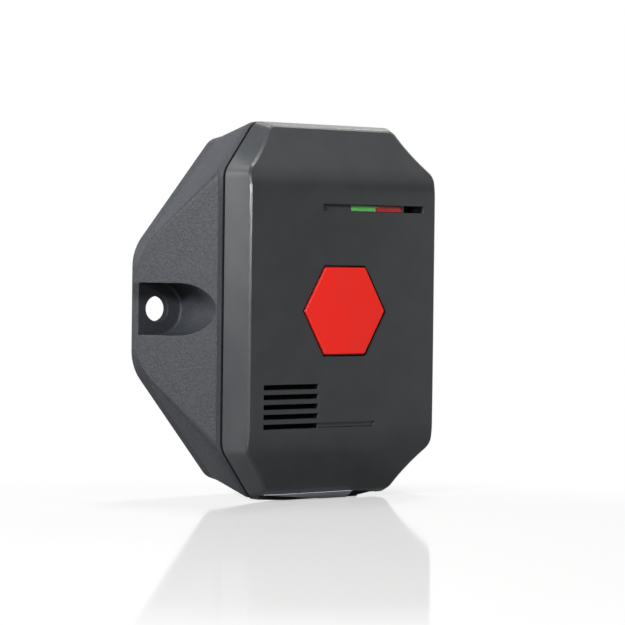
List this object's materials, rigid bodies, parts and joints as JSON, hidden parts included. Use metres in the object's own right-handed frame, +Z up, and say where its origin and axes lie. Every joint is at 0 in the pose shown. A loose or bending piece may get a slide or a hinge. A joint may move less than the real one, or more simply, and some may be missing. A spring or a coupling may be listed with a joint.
{
  "type": "wireless panic button",
  "caption": "Wall-mounted battery panic button: octagonal cover with a red hexagonal push button, indicator windows and sound slots, on a flared base with screw ears.",
  "frame": {"origin": "centre of the rear face that lies against the wall", "axes": "+Z up along the long side, +Y into the wall, so the button looks along -Y; +X to the right as seen from the front"},
  "size_m": [0.0742, 0.0268, 0.081],
  "materials": {
    "grey_plastic": "fine spark-eroded grain, dark bluish grey",
    "red_plastic": "smooth bright red, lightly satin",
    "green_lens": "green tinted clear window",
    "red_lens": "dark red tinted clear window",
    "black_plastic": "black",
    "white_plastic": "off white",
    "black_rubber": "soft black",
    "black_cloth": "fine woven acoustic cloth",
    "speaker_film": "thin pressed film",
    "tinned_metal": "tinned, satin",
    "spring_steel": "nickel plated spring steel",
    "brass_contact": "phosphor bronze, bare",
    "aluminium_can": "satin can",
    "cell_can": "plain dark sleeve",
    "board_green": "solder mask",
    "board_blue": "solder mask"
  },
  "bodies": {
    "housing": {"front_cover": "grey_plastic", "rear_housing": "grey_plastic", "button_spring": "spring_steel", "spring_seat": "black_plastic", "switch_body": "black_plastic", "light_guide_green": "green_lens", "light_guide_red": "red_lens", "led_green": "white_plastic", "led_red": "white_plastic", "microphone": "tinned_metal", "microphone_boot": "black_rubber", "grille_mesh": "black_cloth", "speaker_frame": "black_plastic", "speaker_magnet": "tinned_metal", "speaker_cone": "speaker_film", "speaker_terminals": "brass_contact", "circuit_board": "board_green", "board_screws": "tinned_metal", "radio_card": "board_blue", "radio_shield": "tinned_metal", "antenna": "brass_contact", "microcontroller": "black_plastic", "crystal": "tinned_metal", "capacitor": "aluminium_can", "battery_right": "cell_can", "battery_left": "cell_can", "battery_holder": "black_plastic", "contact_plus": "spring_steel", "contact_minus": "spring_steel", "contact_bridge": "spring_steel"},
    "button": {"panic_button": "red_plastic", "switch_actuator": "white_plastic"}
  },
  "joints": [
    {"name": "button_press", "type": "slide", "parent": "housing", "child": "button", "axis": [0, 1, 0], "range_m": [0, 0.0012], "stiffness_N_per_m": 700, "springref_m": -0.002, "deforming": ["button_spring"]}
  ]
}
